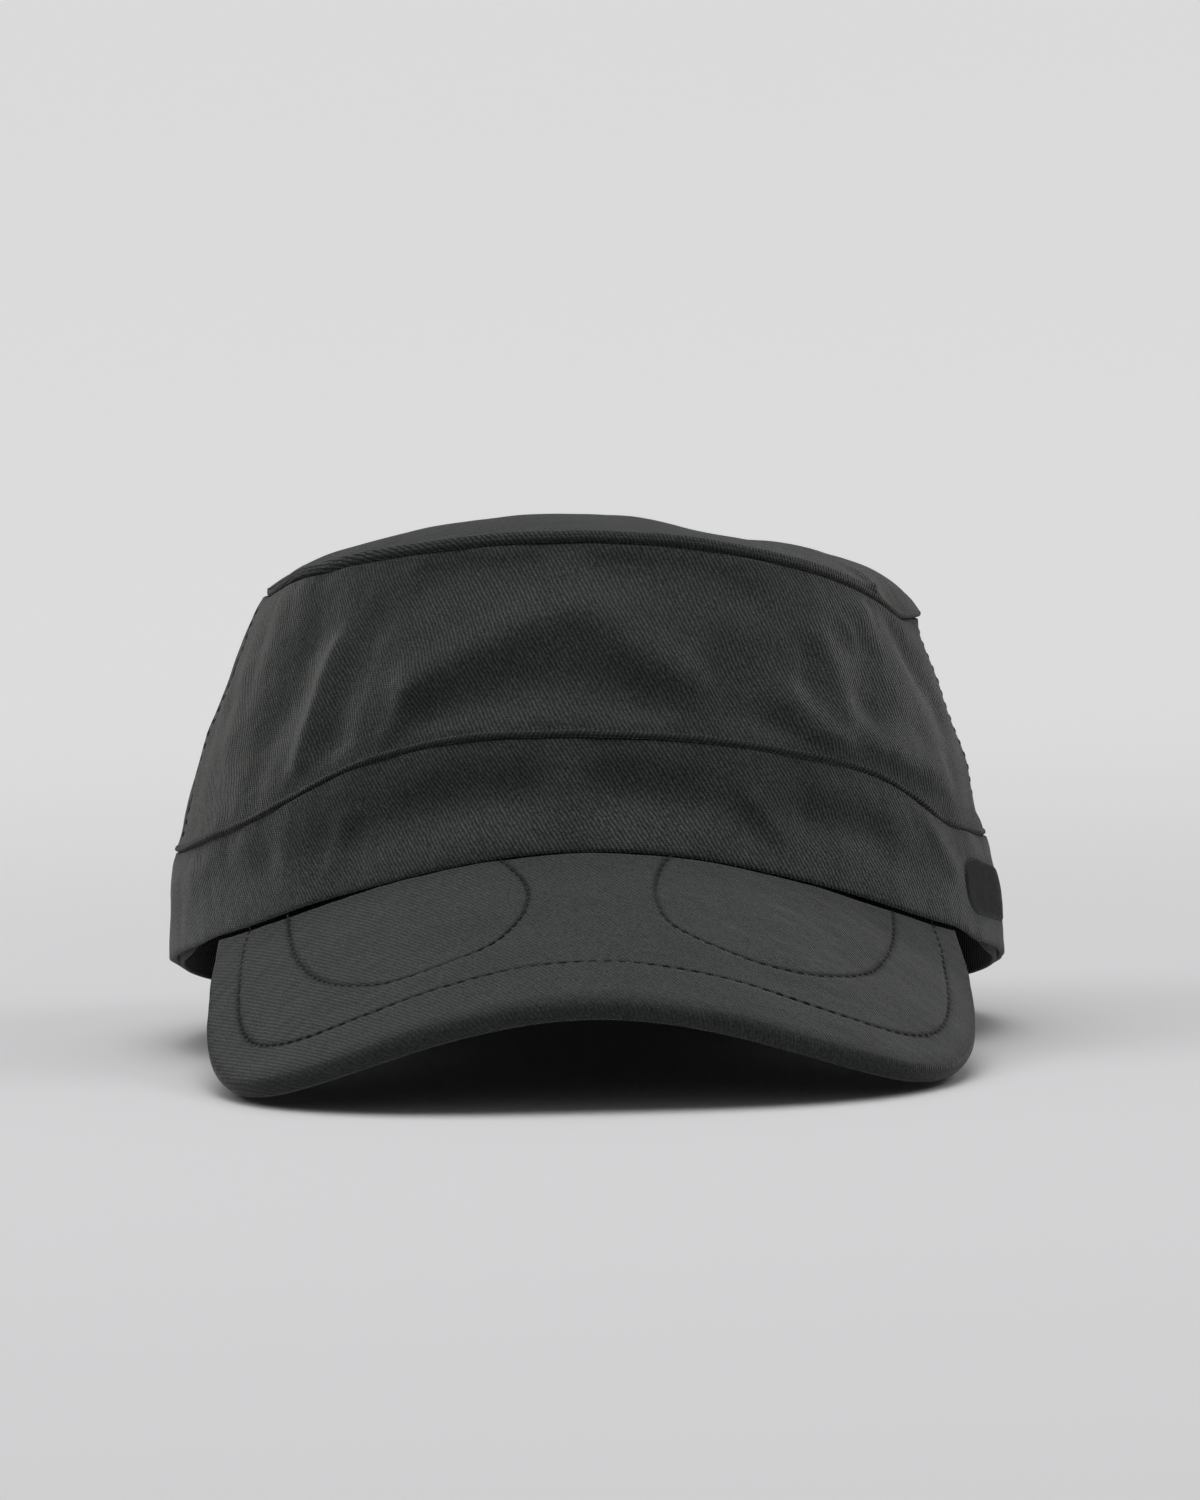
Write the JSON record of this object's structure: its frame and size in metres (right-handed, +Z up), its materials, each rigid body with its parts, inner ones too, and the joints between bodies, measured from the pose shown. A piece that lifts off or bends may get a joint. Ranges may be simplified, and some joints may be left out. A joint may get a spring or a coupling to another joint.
{
  "type": "patrol cap",
  "caption": "Soft twill patrol cap with a domed top, a leaning crown wall, a lower band and a curved sloping peak, resting on its peak corners and the back of its rim",
  "frame": {"origin": "on the resting surface, under the middle of the whole cap", "axes": "+X to the wearer's left, -Y out along the peak, +Y to the back of the head, +Z up"},
  "size_m": [0.178, 0.2622, 0.1108],
  "materials": {
    "cap_cloth": "matt cotton twill, charcoal grey",
    "peak_cloth": "matt cotton twill over a stiff core, charcoal grey",
    "sweatband_cloth": "matt woven tape, dark grey"
  },
  "bodies": {
    "root": {"top_panel": "cap_cloth", "crown_front": "cap_cloth", "crown_back": "cap_cloth", "band": "cap_cloth", "peak": "peak_cloth", "sweatband": "sweatband_cloth"}
  },
  "joints": []
}
